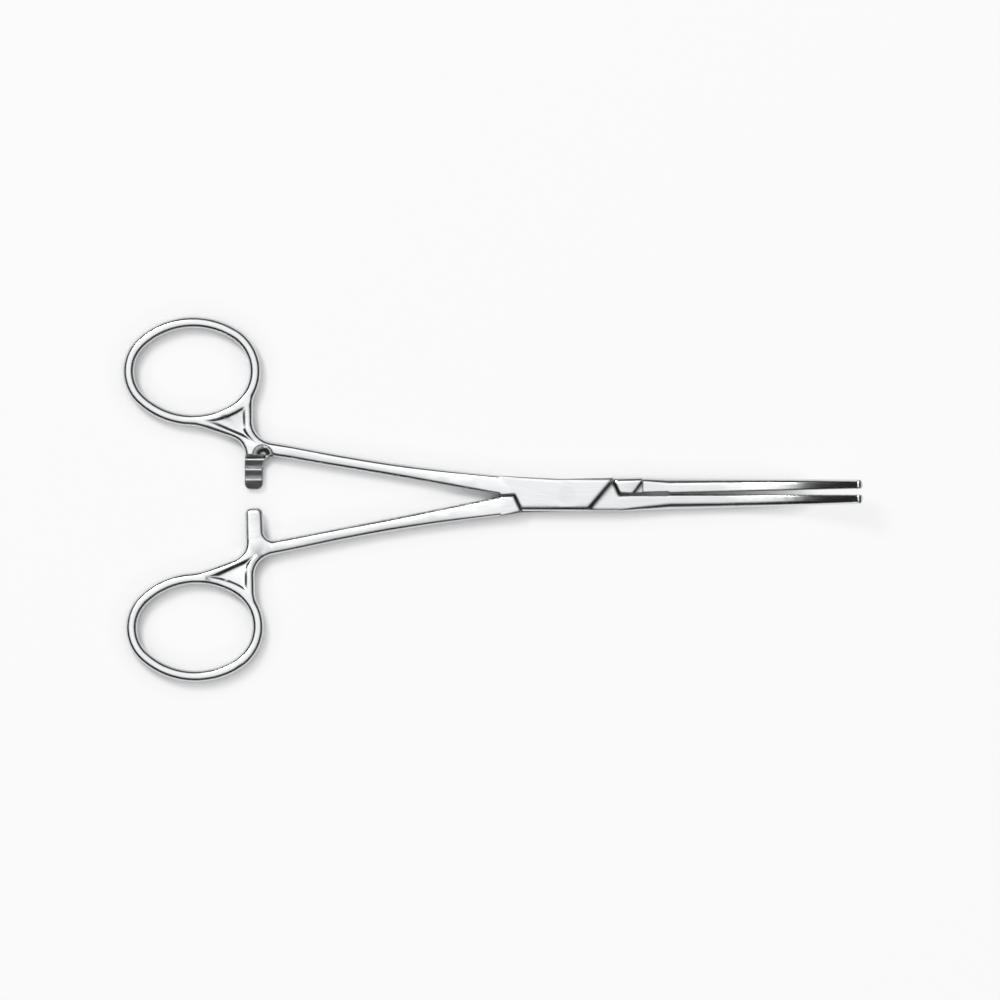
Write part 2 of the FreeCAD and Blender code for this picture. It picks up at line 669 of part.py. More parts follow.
def pin_profile(body, name):
    """Half section of the riveted pin: a shaft that flares flush with both lock faces."""
    sketch = new_sketch(body, name, "XZ_Plane")
    top = "Sizes.lock_thickness"
    closed_outline(sketch, [
        ("0", "0"),
        ("Sizes.pin_head_radius", "0"),
        ("Sizes.pin_radius", "Sizes.pin_head_height"),
        ("Sizes.pin_radius", f"{top} - Sizes.pin_head_height"),
        ("Sizes.pin_head_radius", top),
        ("0", top),
    ])
    return sketch


LOCK_END = "Sizes.lock_half_length"
LOCK_SIDE = "Sizes.lock_width / 2"
SHANK_BACK = "Sizes.half_gap + Sizes.shank_lock_width"


def build_female_half():
    body = new_body("female_half")
    hub = build_hub(body, 1)
    build_shank(body, 1, build_ratchet(body, 1))
    sketch = new_sketch(body, "box_outline", "XY_Plane", ("0", "0", MIDDLE))
    closed_outline(sketch, [
        ("-Sizes.crotch_reach", "Sizes.half_gap"),
        (f"-{LOCK_END}", "Sizes.half_gap"),
        (f"-{LOCK_END} + Sizes.lock_diagonal", f"-{LOCK_SIDE}"),
        (LOCK_END, f"-{LOCK_SIDE}"),
        (LOCK_END, "-Sizes.half_gap"),
        (f"{LOCK_END} - Sizes.lock_diagonal", LOCK_SIDE),
        ("-Sizes.lock_straight_reach", LOCK_SIDE),
        ("-Sizes.crotch_reach", SHANK_BACK),
    ])
    box = pad(body, "box", sketch, "Sizes.lock_thickness")
    round_lock_edges(body, 1, box)
    build_jaw(body, 1)
    cut_relief(body, "face_relief", "Sizes.female_relief_reach")

    sketch = new_sketch(body, "slot_outline", "XY_Plane", ("0", "0", MIDDLE))
    outside = "Sizes.lock_width"
    closed_outline(sketch, [
        (f"-{SLOT_MOUTH}", LOCK_SIDE),
        (f"-{LOCK_END}", "Sizes.half_gap"),
        (f"-{LOCK_END} - Sizes.lock_diagonal", f"-{outside}"),
        (SLOT_MOUTH, f"-{outside}"),
        (SLOT_MOUTH, f"-{LOCK_SIDE}"),
        (LOCK_END, "-Sizes.half_gap"),
        (f"{LOCK_END} + Sizes.lock_diagonal", outside),
        (f"-{SLOT_MOUTH}", outside),
    ])
    pocket(body, "slot", sketch, "Sizes.slot_height")
    revolve(body, "Groove", "pin_seat", pin_profile(body, "pin_seat_profile"))
    return body


def build_male_half():
    body = new_body("male_half")
    build_hub(body, -1)
    build_shank(body, -1, build_ratchet(body, -1))
    gap = "Sizes.shoulder_clearance"
    overlap = "Sizes.lock_diagonal"
    level = ("0", "0", MIDDLE)

    sketch = new_sketch(body, "rear_shoulder_outline", "XY_Plane", level)
    closed_outline(sketch, sided(-1, [
        ("-Sizes.crotch_reach", "Sizes.half_gap"),
        (f"-{LOCK_END} - {gap}", "Sizes.half_gap"),
        (f"-{LOCK_END} + Sizes.lock_diagonal - {gap}", LOCK_SIDE),
        ("-Sizes.crotch_reach", SHANK_BACK),
    ]))
    pad(body, "rear_shoulder", sketch, "Sizes.lock_thickness")

    sketch = new_sketch(body, "tongue_outline", "XY_Plane", level)
    mouth = f"({SLOT_MOUTH} - Sizes.wall_clearance)"
    wall_end = f"({LOCK_END} - Sizes.wall_clearance)"
    closed_outline(sketch, sided(-1, [
        (f"-{LOCK_END} - {overlap}", "Sizes.half_gap"),
        (f"-{wall_end}", "Sizes.half_gap"),
        (f"-{mouth}", f"-{LOCK_SIDE}"),
        (f"{LOCK_END}", f"-{LOCK_SIDE}"),
        (f"{LOCK_END} + {overlap}", "-Sizes.half_gap"),
        (wall_end, "-Sizes.half_gap"),
        (mouth, LOCK_SIDE),
        (f"-{LOCK_END}", LOCK_SIDE),
    ]))
    pad(body, "tongue", sketch, "Sizes.slot_height - 2 * Sizes.tongue_clearance")

    sketch = new_sketch(body, "front_shoulder_outline", "XY_Plane", level)
    closed_outline(sketch, sided(-1, [
        (f"{LOCK_END} - Sizes.lock_diagonal + {gap}", f"-{LOCK_SIDE}"),
        ("Sizes.male_block_reach", f"-{LOCK_SIDE}"),
        ("Sizes.male_block_reach", "-Sizes.half_gap"),
        (f"{LOCK_END} + {gap}", "-Sizes.half_gap"),
    ]))
    shoulder = pad(body, "front_shoulder", sketch, "Sizes.lock_thickness")
    round_lock_edges(body, -1, shoulder)
    build_jaw(body, -1)
    cut_relief(body, "face_relief", "Sizes.male_relief_reach")

    sketch = new_sketch(body, "pivot_hole_outline", "XY_Plane", level)
    hole = sketch.addGeometry(Part.Circle(Vector(0, 0, 0), Vector(0, 0, 1), value("Sizes.pin_radius")))
    sketch.addConstraint(Sketcher.Constraint("Coincident", hole, 3, -1, 1))
    fix_radius(sketch, hole, "Sizes.pin_radius + Sizes.pin_clearance")
    pocket(body, "pivot_hole", sketch, "Sizes.lock_thickness")
    body.Placement = Placement(Vector(0, 0, 0), Rotation(Vector(0, 0, 1), value("Sizes.rest_opening")))
    body.setExpression("Placement.Rotation.Angle", "Sizes.rest_opening * 1deg")
    return body


def build_pivot_pin():
    body = new_body("pivot_pin")
    revolve(body, "Revolution", "pin", pin_profile(body, "pin_profile"))
    return body


bodies = [build_female_half(), build_male_half(), build_pivot_pin()]
document.recompute()

for item in document.Objects:
    if "Invalid" in item.State or "Error" in item.State:
        raise RuntimeError(f"{item.Label} is {item.State}")
for body in bodies:
    if body.Shape.isNull() or not body.Shape.isValid():
        raise RuntimeError(f"{body.Label} has no valid shape")
    print(body.Label, len(body.Shape.Solids), round(body.Shape.Volume, 3))

os.makedirs("parts", exist_ok=True)
for body in bodies:
    body.Shape.exportStep(f"parts/{body.Label}.step")
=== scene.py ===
import json
import math

import bmesh
import bpy
from bpy.props import FloatProperty, FloatVectorProperty, PointerProperty
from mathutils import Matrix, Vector


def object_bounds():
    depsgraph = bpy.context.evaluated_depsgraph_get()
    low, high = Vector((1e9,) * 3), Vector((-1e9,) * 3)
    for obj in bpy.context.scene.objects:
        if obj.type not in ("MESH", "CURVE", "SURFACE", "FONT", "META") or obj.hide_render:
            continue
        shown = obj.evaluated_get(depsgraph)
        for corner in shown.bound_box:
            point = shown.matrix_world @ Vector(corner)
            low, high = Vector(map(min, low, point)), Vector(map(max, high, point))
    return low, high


bl_info = {
    "name": "Surgical clamp finish",
    "version": (1, 0, 0),
    "blender": (4, 5, 0),
    "location": "View3D > Sidebar > Clamp",
    "description": "Finishes a box-lock clamp in ground and polished steel and sets it on a table",
    "category": "Material",
}

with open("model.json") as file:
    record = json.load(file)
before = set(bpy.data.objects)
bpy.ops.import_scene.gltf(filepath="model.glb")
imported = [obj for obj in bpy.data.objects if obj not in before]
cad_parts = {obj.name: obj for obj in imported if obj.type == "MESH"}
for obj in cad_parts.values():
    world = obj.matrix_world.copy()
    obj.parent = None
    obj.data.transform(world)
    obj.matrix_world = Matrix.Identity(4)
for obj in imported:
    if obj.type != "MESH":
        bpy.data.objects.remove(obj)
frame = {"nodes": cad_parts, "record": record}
cad_low, cad_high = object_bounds()

FLOAT = "NodeSocketFloat"
VECTOR = "NodeSocketVector"
WHITE = (1.0, 1.0, 1.0, 1.0)
LEVEL = (1.0, 1.0, 0.0)  # leaves the height out of a vector

# Where each smooth step begins and ends.
FLAT_TO_BUFFED = (0.985, 0.93)  # upward part of a face's normal
GROOVE_TO_RIDGE = (0.3, 0.7)  # height of the grinding lines
# Painted shade and stain: the steel's colour darkens in seams, corners and grooves, where little space is
# open round a place.
SHADE_AND_STAIN_TO_OPEN = (0.25, 0.75)  # openness of a place on the steel
CLEAN_TO_SMUDGED = (0.4, 0.68)  # noise of the smudges
SHADED_TO_OPEN = (0.3, 0.95)  # openness of a place on the table
WALL_TO_CEILING = (0.8, 0.99)  # upward part of a direction in the room
WALL_TO_LOW_WALL = (0.4, 0.25)  # the same, further down
TABLE_TO_BELOW = (0.001, 0.0)  # the same, at the level of the table
RINGS_TO_JAWS = (-0.4, 0.1)  # forward part of a direction in the room

# The finger rings, the ratchet arms and the lock
RING_WIDTH_SHARE = 0.8  # width of a ring over its length
RING_CORE = 0.8  # share of the ring's reach where it is fully buffed
LOCK_CORE = 0.7  # share of the lock's reach where it is fully polished
ARM_FADE = 0.001  # how far the milled finish fades at its edges

# Grinding lines and marks
LINE_TONES = (0.93, 1.03)  # colour of the steel in a groove and on a ridge
LINE_MIDDLE = 0.5  # height at which the lines leave the roughness as it is
LINE_ROUGHNESS = 0.22  # what the lines' height adds to the roughness
SMUDGE_ROUGHNESS = 0.10  # what a smudge adds to it
SMUDGE_TONE = 0.05  # what a smudge takes from the steel's colour
HAIRLINE_ROUGHNESS = 0.08  # what a hairline adds to the roughness
HAIRLINE_RELIEF = -0.5  # depth of a hairline, where a grinding line is 1 high
HAIRLINE_EDGE = 0.03  # how softly a hairline ends
HAIRLINE_ANGLES = (0.42, -0.75)
HAIRLINE_STRETCH = (0.02, 1.0, 0.3)  # a small number draws a hairline out along that axis

WELD_DISTANCE = 0.000001
TABLE_DROP = 0.00002  # keeps the table's face from flickering through the part's underside


def record_colour(slot):
    """The colour that the record gives a material slot."""
    materials = frame["record"]["materials"]
    return next(entry["base_color"] for entry in materials if entry["slot"] == slot)


class SteelFinish(bpy.types.PropertyGroup):
    half_colour: FloatVectorProperty(
        name="Half steel", description="Colour of both forged halves", subtype="COLOR", min=0, max=1,
        default=record_colour("half_steel"))
    pin_colour: FloatVectorProperty(
        name="Pin steel", description="Colour of the pivot pin", subtype="COLOR", min=0, max=1,
        default=record_colour("pin_steel"))
    satin_roughness: FloatProperty(
        name="Satin roughness", description="Roughness of the ground faces", min=0.05, max=1, default=0.32)
    polish_roughness: FloatProperty(
        name="Polish roughness", description="Roughness of the buffed rings and rounded edges",
        min=0.02, max=1, default=0.18)
    milled_roughness: FloatProperty(
        name="Milled roughness", description="Roughness of the milled ratchet arms",
        min=0.05, max=1, default=0.33)
    line_width: FloatProperty(
        name="Line width", description="Width of one grinding line", subtype="DISTANCE", unit="LENGTH",
        min=0.00002, max=0.001, precision=5, default=0.00022)
    line_length: FloatProperty(
        name="Line length", description="Length of one grinding line", subtype="DISTANCE", unit="LENGTH",
        min=0.0005, max=0.05, precision=4, default=0.009)
    line_depth: FloatProperty(
        name="Line depth", description="Depth of the grinding lines", subtype="DISTANCE", unit="LENGTH",
        min=0, max=0.0001, precision=6, default=0.000006)
    handling: FloatProperty(
        name="Handling marks", description="Strength of smudges and hairlines", subtype="FACTOR",
        min=0, max=1, default=0.5)
    smudge_size: FloatProperty(
        name="Smudge size", description="Size of one smudge", subtype="DISTANCE", unit="LENGTH",
        min=0.001, max=0.1, precision=4, default=0.011)
    hairline_width: FloatProperty(
        name="Hairline width", description="Width of one hairline", subtype="DISTANCE", unit="LENGTH",
        min=0.00001, max=0.001, precision=5, default=0.00012)
    hairline_share: FloatProperty(
        name="Hairline share", description="How readily a hairline shows, where 0 is never",
        subtype="FACTOR", min=0, max=1, default=0.3)
    edge_radius: FloatProperty(
        name="Edge radius", description="Radius to which the sharp edges are broken",
        subtype="DISTANCE", unit="LENGTH", min=0, max=0.001, precision=5, default=0.0005)
    lock_edge_radius: FloatProperty(
        name="Lock edge radius", description="Radius to which the lock's edges are polished",
        subtype="DISTANCE", unit="LENGTH", min=0, max=0.003, precision=5, default=0.0011)
    # Painted shade and stain: these darken the steel's colour in seams, corners and grooves, standing for
    # the shade there as well as the stain in the lock's joint.
    shade_and_stain_width: FloatProperty(
        name="Seam width", description="How far from a seam or corner the steel is stained",
        subtype="DISTANCE", unit="LENGTH", min=0, max=0.005, precision=5, default=0.0008)
    shade_and_stain_tone: FloatProperty(
        name="Seam tone", description="How dark the stain in a seam is, where 1 is clean",
        subtype="FACTOR", min=0, max=1, default=0.3)
    crease: FloatProperty(
        name="Crease", description="Edges sharper than this stay crisp, and flatter ones are buffed round",
        subtype="ANGLE", unit="ROTATION", min=0.1, max=1.5, default=math.radians(36))


class ClampPlaces(bpy.types.PropertyGroup):
    ring_centre: FloatVectorProperty(
        name="Ring centre", description="Middle of the female half's finger ring", size=2,
        subtype="XYZ", unit="LENGTH", default=(-0.0812, 0.0268))
    ring_reach: FloatProperty(
        name="Ring reach", description="How far round its ring the buffed finish goes",
        subtype="DISTANCE", unit="LENGTH", min=0.005, max=0.03, default=0.0155)
    shank_slope: FloatProperty(
        name="Shank slope", description="How far a shank leaves the middle for each metre of length",
        min=0, max=1, default=0.18)
    rest_opening: FloatProperty(
        name="Rest opening", description="Turn of the male half at rest", subtype="ANGLE",
        unit="ROTATION", min=0, max=1, default=math.radians(1.3))
    arm_front: FloatProperty(
        name="Arm front", description="Front edge of the milled ratchet arms",
        subtype="DISTANCE", unit="LENGTH", default=-0.064)
    arm_root: FloatProperty(
        name="Arm root", description="How far from the middle the milled part of an arm ends",
        subtype="DISTANCE", unit="LENGTH", min=0, default=0.0088)
    lock_reach: FloatProperty(
        name="Lock reach", description="How far from the pin the lock's polished edges go",
        subtype="DISTANCE", unit="LENGTH", min=0, default=0.0145)
    pin_reach: FloatProperty(
        name="Pin reach", description="Ground flat part of the lock round its pin",
        subtype="DISTANCE", unit="LENGTH", min=0, default=0.003)
    bend_start: FloatProperty(
        name="Bend start", description="Where the jaws begin to curve", subtype="DISTANCE",
        unit="LENGTH", default=0.0335)
    bend_radius: FloatProperty(
        name="Bend radius", description="Radius of the jaws' curve", subtype="DISTANCE",
        unit="LENGTH", min=0.01, default=0.052)


class Studio(bpy.types.PropertyGroup):
    view_width: FloatProperty(
        name="View width", description="Width that the camera sees", subtype="DISTANCE",
        unit="LENGTH", min=0.01, default=0.2165)
    view_centre: FloatVectorProperty(
        name="View centre", description="Middle of the camera's picture", size=2, subtype="XYZ",
        unit="LENGTH", default=(-0.0145, -0.00108))
    camera_height: FloatProperty(
        name="Camera height", description="Height of the camera over the table", subtype="DISTANCE",
        unit="LENGTH", min=0.1, default=0.6)
    floor_colour: FloatVectorProperty(
        name="Floor", description="Colour of the table", subtype="COLOR", min=0, max=1,
        default=(0.95, 0.95, 0.95))
    floor_glow: FloatProperty(
        name="Floor glow", description="Share of plain white in the table, as the eye and the steel see it",
        subtype="FACTOR", min=0, max=1, default=0.85)
    shade_reach: FloatProperty(
        name="Shade reach", description="How near a thing has to be to shade the table's own white",
        subtype="DISTANCE", unit="LENGTH", min=0, precision=4, default=0.005)
    floor_width: FloatProperty(
        name="Floor width", description="Width of the table", subtype="DISTANCE", unit="LENGTH",
        min=0.5, default=4.0)
    light_bearing: FloatProperty(
        name="Light bearing", description="Where the light comes from, round the table from the jaws' side",
        subtype="ANGLE", unit="ROTATION", default=math.radians(127))
    key_power: FloatProperty(
        name="Key light", description="Power of the lamp that casts the shadows", min=0, default=32.0)
    key_distance: FloatProperty(
        name="Key distance", description="How far beside the clamp the lamp hangs", subtype="DISTANCE",
        unit="LENGTH", min=0, default=1.3)
    key_height: FloatProperty(
        name="Key height", description="Height of the lamp over the table", subtype="DISTANCE",
        unit="LENGTH", min=0.1, default=2.0)
    key_width: FloatProperty(
        name="Key width", description="Width of the lamp, which softens the shadows",
        subtype="DISTANCE", unit="LENGTH", min=0.01, default=0.6)
    ceiling_strength: FloatProperty(
        name="Ceiling", description="Brightness of the white ceiling", min=0, default=1.2)
    wall_strength: FloatProperty(
        name="High walls", description="Brightness of the dark upper walls that outline the steel",
        min=0, default=0.02)
    low_wall_strength: FloatProperty(
        name="Low walls", description="Brightness that the walls beyond the jaws gain towards the table",
        min=0, default=0.28)
    ceiling_lean: FloatProperty(
        name="Ceiling lean", description="How much lower the ceiling's bright part comes on the lit side",
        min=0, max=1, default=0.15)
    horizon_strength: FloatProperty(
        name="Horizon", description="Brightness of the room below the level of the table",
        min=0, default=0.95)


def node(tree, kind, inputs=None, **settings):
    """A shader node; an input takes a value, or a socket to link from."""
    made = tree.nodes.new(kind)
    for name, setting in settings.items():
        setattr(made, name, setting)
    for name, given in (inputs or {}).items():
        if isinstance(given, bpy.types.NodeSocket):
            tree.links.new(given, made.inputs[name])
        else:
            made.inputs[name].default_value = given
    return made


def maths(tree, operation, *given, clamp=False):
    """One step of arithmetic with numbers."""
    inputs = dict(enumerate(given))
    return node(tree, "ShaderNodeMath", inputs, operation=operation, use_clamp=clamp).outputs[0]


def vector_maths(tree, operation, *given):
    """The outputs of one step of arithmetic with vectors."""
    return node(tree, "ShaderNodeVectorMath", dict(enumerate(given)), operation=operation).outputs


def scaled(tree, vector, size):
    """A vector measured in steps of a size."""
    return vector_maths(tree, "DIVIDE", vector, size)["Vector"]


def turned(tree, vector, angle):
    """A vector turned about the upright axis."""
    return node(tree, "ShaderNodeMapping", {"Vector": vector, "Rotation": (0.0, 0.0, angle)}).outputs[0]


def axes(tree, vector):
    """The X, Y and Z outputs of a vector."""
    return node(tree, "ShaderNodeSeparateXYZ", {"Vector": vector}).outputs


def joined(tree, x, y, z):
    """A vector made of three numbers."""
    return node(tree, "ShaderNodeCombineXYZ", {"X": x, "Y": y, "Z": z}).outputs[0]


def noise(tree, vector, **shape):
    """Noise one unit across, unless its shape says another scale."""
    inputs = {"Vector": vector, "Scale": 1.0, **shape}
    return node(tree, "ShaderNodeTexNoise", inputs).outputs["Fac"]


def openness(tree, distance):
    """How little stands within a distance of a place, from 0 to 1."""
    return node(tree, "ShaderNodeAmbientOcclusion", {"Distance": distance}, samples=4).outputs["AO"]


def step_between(tree, given, low, high, to_low=0.0, to_high=1.0):
    """A smooth change from one value to another as the input goes from low to high."""
    ramp = node(tree, "ShaderNodeMapRange", {
        "Value": given, "From Min": low, "From Max": high, "To Min": to_low, "To Max": to_high,
    }, interpolation_type="SMOOTHSTEP")
    return ramp.outputs["Result"]


def mixed(tree, share, first, second):
    """Two numbers blended by a share."""
    blend = node(tree, "ShaderNodeMix", {"Factor": share, "A": first, "B": second}, data_type="FLOAT")
    return blend.outputs["Result"]


def new_group(name, inputs, outputs):
    """A shader node group with named sockets, and its inner input sockets and output node."""
    tree = bpy.data.node_groups.new(name, "ShaderNodeTree")
    for label, kind in inputs:
        tree.interface.new_socket(label, in_out="INPUT", socket_type=kind)
    for label, kind in outputs:
        tree.interface.new_socket(label, in_out="OUTPUT", socket_type=kind)
    return tree, tree.nodes.new("NodeGroupInput").outputs, tree.nodes.new("NodeGroupOutput").inputs


def placed(tree, group, inputs):
    """The output sockets of a group that is placed in a material with its own values."""
    return node(tree, "ShaderNodeGroup", inputs, node_tree=group).outputs


def forging_flow_group():
    """Coordinates that run along a half: straight down the shank, up the jaw's curve."""
    tree, given, result = new_group("Forging Flow", [
        ("Vector", VECTOR), ("Slope", FLOAT), ("Bend Start", FLOAT), ("Bend Radius", FLOAT),
    ], [("Vector", VECTOR)])
    place = axes(tree, given["Vector"])
    behind = maths(tree, "MINIMUM", place["X"], 0.0)
    across = maths(tree, "ADD", place["Y"], maths(tree, "MULTIPLY", behind, given["Slope"]))
    past = maths(tree, "MAXIMUM", maths(tree, "SUBTRACT", place["X"], given["Bend Start"]), 0.0)
    width = maths(tree, "MULTIPLY", given["Bend Radius"], 2.0)
    rise = maths(tree, "DIVIDE", maths(tree, "POWER", past, 2.0), width)
    up = maths(tree, "SUBTRACT", place["Z"], rise)
    tree.links.new(joined(tree, place["X"], across, up), result["Vector"])
    return tree


def ring_flow_group():
    """Coordinates that run round a finger ring, and the share of it that a place belongs to."""
    tree, given, result = new_group("Ring Flow", [
        ("Vector", VECTOR), ("Centre X", FLOAT), ("Centre Y", FLOAT), ("Reach", FLOAT),
    ], [("Vector", VECTOR), ("Ring", FLOAT)])
    place = axes(tree, given["Vector"])
    ahead = maths(tree, "SUBTRACT", place["X"], given["Centre X"])
    along = maths(tree, "MULTIPLY", ahead, RING_WIDTH_SHARE)
    across = maths(tree, "SUBTRACT", place["Y"], given["Centre Y"])
    squares = maths(tree, "ADD", maths(tree, "POWER", along, 2.0), maths(tree, "POWER", across, 2.0))
    radius = maths(tree, "SQRT", squares)
    turn = maths(tree, "ARCTAN2", across, along)
    round_it = maths(tree, "MULTIPLY", turn, given["Reach"])
    tree.links.new(joined(tree, round_it, radius, place["Z"]), result["Vector"])
    inside = maths(tree, "MULTIPLY", given["Reach"], RING_CORE)
    tree.links.new(step_between(tree, radius, given["Reach"], inside), result["Ring"])
    return tree


def ratchet_arm_group():
    """The share of the milled ratchet arm that a place belongs to."""
    tree, given, result = new_group("Ratchet Arm", [
        ("Vector", VECTOR), ("Arm Front", FLOAT), ("Arm Root", FLOAT),
    ], [("Arm", FLOAT)])
    place = axes(tree, given["Vector"])
    away = maths(tree, "ABSOLUTE", place["Y"])
    shares = [
        step_between(tree, measure, given[limit], maths(tree, "SUBTRACT", given[limit], ARM_FADE))
        for measure, limit in ((place["X"], "Arm Front"), (away, "Arm Root"))
    ]
    tree.links.new(maths(tree, "MULTIPLY", *shares), result["Arm"])
    return tree


def lock_edges_group():
    """The share of the lock that a place belongs to, and the places clear of the pin."""
    tree, given, result = new_group("Lock Edges", [
        ("Vector", VECTOR), ("Lock Reach", FLOAT), ("Pin Reach", FLOAT),
    ], [("Lock", FLOAT), ("Clear", FLOAT)])
    flat = vector_maths(tree, "MULTIPLY", given["Vector"], LEVEL)["Vector"]
    reach = vector_maths(tree, "LENGTH", flat)["Value"]
    core = maths(tree, "MULTIPLY", given["Lock Reach"], LOCK_CORE)
    tree.links.new(step_between(tree, reach, given["Lock Reach"], core), result["Lock"])
    tree.links.new(maths(tree, "GREATER_THAN", reach, given["Pin Reach"]), result["Clear"])
    return tree


def grinding_lines_group():
    """Fine lines that a belt leaves along the first coordinate."""
    tree, given, result = new_group("Grinding Lines", [
        ("Vector", VECTOR), ("Line Length", FLOAT), ("Line Width", FLOAT),
    ], [("Height", FLOAT)])
    size = joined(tree, given["Line Length"], given["Line Width"], given["Line Width"])
    lines = noise(tree, scaled(tree, given["Vector"], size), Detail=3.0, Roughness=0.6)
    tree.links.new(lines, result["Height"])
    return tree


def handling_marks_group():
    """Soft smudges, and a few hairlines that cross at two angles."""
    tree, given, result = new_group("Handling Marks", [
        ("Vector", VECTOR), ("Smudge Size", FLOAT), ("Hairline Width", FLOAT), ("Hairline Share", FLOAT),
    ], [("Smudges", FLOAT), ("Hairlines", FLOAT)])
    spot = scaled(tree, given["Vector"], given["Smudge Size"])
    smudge = noise(tree, spot, Detail=4.0, Roughness=0.55, Distortion=0.6)
    tree.links.new(step_between(tree, smudge, *CLEAN_TO_SMUDGED), result["Smudges"])
    level = maths(tree, "SUBTRACT", 1.0, given["Hairline Share"])
    end = maths(tree, "ADD", level, HAIRLINE_EDGE)
    drawn = []
    for angle in HAIRLINE_ANGLES:
        thin = scaled(tree, turned(tree, given["Vector"], angle), given["Hairline Width"])
        long = vector_maths(tree, "MULTIPLY", thin, HAIRLINE_STRETCH)["Vector"]
        drawn.append(step_between(tree, noise(tree, long, Detail=1.0, Roughness=0.4), level, end))
    tree.links.new(maths(tree, "MAXIMUM", *drawn), result["Hairlines"])
    return tree


def steel_groups():
    """The shared node groups, made once."""
    makers = {
        "Forging Flow": forging_flow_group,
        "Ring Flow": ring_flow_group,
        "Ratchet Arm": ratchet_arm_group,
        "Lock Edges": lock_edges_group,
        "Grinding Lines": grinding_lines_group,
        "Handling Marks": handling_marks_group,
    }
    return {name: bpy.data.node_groups.get(name) or make() for name, make in makers.items()}


def new_material(name):
    """An empty material, and its node tree."""
    material = bpy.data.materials.new(name)
    material.use_nodes = True
    tree = material.node_tree
    tree.nodes.clear()
    return material, tree


def ground_height(tree, groups, finish, flow):
    """Height of the grinding lines that follow the given coordinates."""
    return placed(tree, groups["Grinding Lines"], {
        "Vector": flow, "Line Length": finish.line_length, "Line Width": finish.line_width})["Height"]


def ground_roughness(tree, roughness, height):
    """Roughness that rises and falls with the grinding lines."""
    swing = maths(tree, "MULTIPLY", maths(tree, "SUBTRACT", height, LINE_MIDDLE), LINE_ROUGHNESS)
    return maths(tree, "ADD", roughness, swing)


def finish_steel(tree, colour, tone, roughness, depth, height, **facing):
    """The steel shader: a colour times a tone, under lines of a depth."""
    toned = vector_maths(tree, "MULTIPLY", tuple(colour), tone)["Vector"]
    bump = node(tree, "ShaderNodeBump", {"Strength": 1.0, "Distance": depth, "Height": height, **facing})
    shader = node(tree, "ShaderNodeBsdfPrincipled", {
        "Base Color": toned, "Metallic": 1.0, "Roughness": roughness, "Normal": bump.outputs[0]})
    node(tree, "ShaderNodeOutputMaterial", {"Surface": shader.outputs[0]})


def half_steel(name, side, turn):
    """Ground and buffed steel whose lines follow one half's shank, jaw and ring."""
    finish = bpy.context.scene.clamp_finish
    places = bpy.context.scene.clamp_places
    groups = steel_groups()
    material, tree = new_material(name)
    texture = node(tree, "ShaderNodeTexCoord").outputs
    own = turned(tree, texture["Object"], -turn)

    straight = placed(tree, groups["Forging Flow"], {
        "Vector": own, "Slope": side * places.shank_slope,
        "Bend Start": places.bend_start, "Bend Radius": places.bend_radius})["Vector"]
    ring = placed(tree, groups["Ring Flow"], {
        "Vector": own, "Centre X": places.ring_centre[0], "Centre Y": side * places.ring_centre[1],
        "Reach": places.ring_reach})
    arm = placed(tree, groups["Ratchet Arm"], {
        "Vector": own, "Arm Front": places.arm_front, "Arm Root": places.arm_root})["Arm"]
    lock = placed(tree, groups["Lock Edges"], {
        "Vector": own, "Lock Reach": places.lock_reach, "Pin Reach": places.pin_reach})
    marks = placed(tree, groups["Handling Marks"], {
        "Vector": own, "Smudge Size": finish.smudge_size, "Hairline Width": finish.hairline_width,
        "Hairline Share": finish.hairline_share})
    smudges = maths(tree, "MULTIPLY", marks["Smudges"], finish.handling)
    hairlines = maths(tree, "MULTIPLY", marks["Hairlines"], finish.handling)
    lines = [ground_height(tree, groups, finish, flow) for flow in (straight, ring["Vector"])]
    height = mixed(tree, ring["Ring"], *lines)

    upright = maths(tree, "ABSOLUTE", axes(tree, texture["Normal"])["Z"])
    polished = maths(tree, "MAXIMUM", ring["Ring"], step_between(tree, upright, *FLAT_TO_BUFFED))
    base = mixed(tree, polished, finish.satin_roughness, finish.polish_roughness)
    base = mixed(tree, arm, base, finish.milled_roughness)
    smudged = maths(tree, "MULTIPLY", smudges, SMUDGE_ROUGHNESS)
    scratched = maths(tree, "MULTIPLY", hairlines, HAIRLINE_ROUGHNESS)
    rough = maths(tree, "ADD", ground_roughness(tree, base, height), smudged)
    rough = maths(tree, "ADD", rough, scratched, clamp=True)

    tone = step_between(tree, height, *GROOVE_TO_RIDGE, *LINE_TONES)
    tone = maths(tree, "SUBTRACT", tone, maths(tree, "MULTIPLY", smudges, SMUDGE_TONE))
    # Painted shade and stain: the colour darkens where little space is open round a place, in seams,
    # corners and grooves.
    seam = step_between(tree, openness(tree, finish.shade_and_stain_width), *SHADE_AND_STAIN_TO_OPEN, finish.shade_and_stain_tone, 1.0)
    tone = maths(tree, "MULTIPLY", tone, seam)

    relief = maths(tree, "ADD", height, maths(tree, "MULTIPLY", hairlines, HAIRLINE_RELIEF))
    radius = mixed(tree, lock["Lock"], finish.edge_radius, finish.lock_edge_radius)
    radius = maths(tree, "MULTIPLY", radius, lock["Clear"])
    broken = node(tree, "ShaderNodeBevel", {"Radius": radius}, samples=8).outputs[0]
    finish_steel(tree, finish.half_colour, tone, rough, finish.line_depth, relief, Normal=broken)
    return material


def pin_steel():
    """Harder steel, ground flush together with the lock's faces."""
    finish = bpy.context.scene.clamp_finish
    material, tree = new_material("ground_pin_steel")
    coordinates = node(tree, "ShaderNodeTexCoord").outputs["Object"]
    height = ground_height(tree, steel_groups(), finish, coordinates)
    tone = step_between(tree, height, *GROOVE_TO_RIDGE, *LINE_TONES)
    rough = ground_roughness(tree, finish.satin_roughness, height)
    finish_steel(tree, finish.pin_colour, tone, rough, finish.line_depth, height)
    return material


